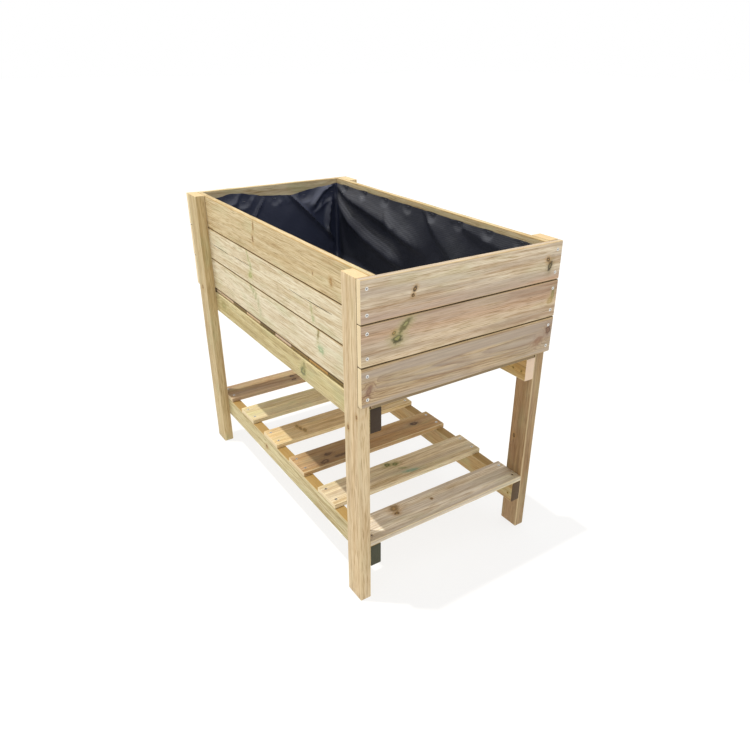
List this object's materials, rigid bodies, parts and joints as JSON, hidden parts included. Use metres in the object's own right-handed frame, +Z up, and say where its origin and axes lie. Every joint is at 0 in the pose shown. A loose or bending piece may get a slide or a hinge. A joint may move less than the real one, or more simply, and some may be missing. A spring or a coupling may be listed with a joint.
{
  "type": "raised planter on legs",
  "caption": "Raised wooden planter: a lined board box held at working height on legs, with a slatted shelf below.",
  "frame": {"origin": "on the ground under the centre of the planter, at the middle of the legs' feet", "axes": "+X along the length of the planter, +Y across its width towards the back side, +Z up"},
  "size_m": [1, 0.56, 0.845],
  "materials": {
    "leg_timber": "planed pressure-treated pine, eased edges",
    "side_board_timber": "planed pressure-treated pine, pale face with green tinge",
    "end_board_timber": "planed pressure-treated pine, marked figure and knots",
    "beam_timber": "planed pressure-treated pine",
    "floor_timber": "planed pressure-treated pine",
    "slat_timber": "planed pressure-treated pine",
    "liner_film": "black woven landscape fabric, slight sheen",
    "zinc_screws": "bright zinc plated",
    "staple_wire": "galvanised wire"
  },
  "bodies": {
    "root": {"leg_front_left": "leg_timber", "leg_front_right": "leg_timber", "front_board_top": "side_board_timber", "front_board_middle": "side_board_timber", "front_board_bottom": "side_board_timber", "front_floor_bearer": "beam_timber", "front_shelf_rail": "beam_timber", "front_board_screws": "zinc_screws", "leg_back_left": "leg_timber", "leg_back_right": "leg_timber", "back_board_top": "side_board_timber", "back_board_middle": "side_board_timber", "back_board_bottom": "side_board_timber", "back_floor_bearer": "beam_timber", "back_shelf_rail": "beam_timber", "back_board_screws": "zinc_screws", "left_board_top": "end_board_timber", "left_board_middle": "end_board_timber", "left_board_bottom": "end_board_timber", "left_board_screws": "zinc_screws", "right_board_top": "end_board_timber", "right_board_middle": "end_board_timber", "right_board_bottom": "end_board_timber", "right_board_screws": "zinc_screws", "floor_board_1": "floor_timber", "floor_board_2": "floor_timber", "floor_board_3": "floor_timber", "floor_board_4": "floor_timber", "floor_board_5": "floor_timber", "floor_board_6": "floor_timber", "floor_board_7": "floor_timber", "floor_board_8": "floor_timber", "floor_board_9": "floor_timber", "floor_board_10": "floor_timber", "shelf_slat_1": "slat_timber", "shelf_slat_2": "slat_timber", "shelf_slat_3": "slat_timber", "shelf_slat_4": "slat_timber", "shelf_slat_5": "slat_timber", "shelf_slat_6": "slat_timber", "liner": "liner_film", "liner_staples": "staple_wire", "floor_board_screws": "zinc_screws", "floor_bearer_screws": "zinc_screws", "shelf_slat_screws": "zinc_screws", "shelf_rail_screws": "zinc_screws"}
  },
  "joints": []
}
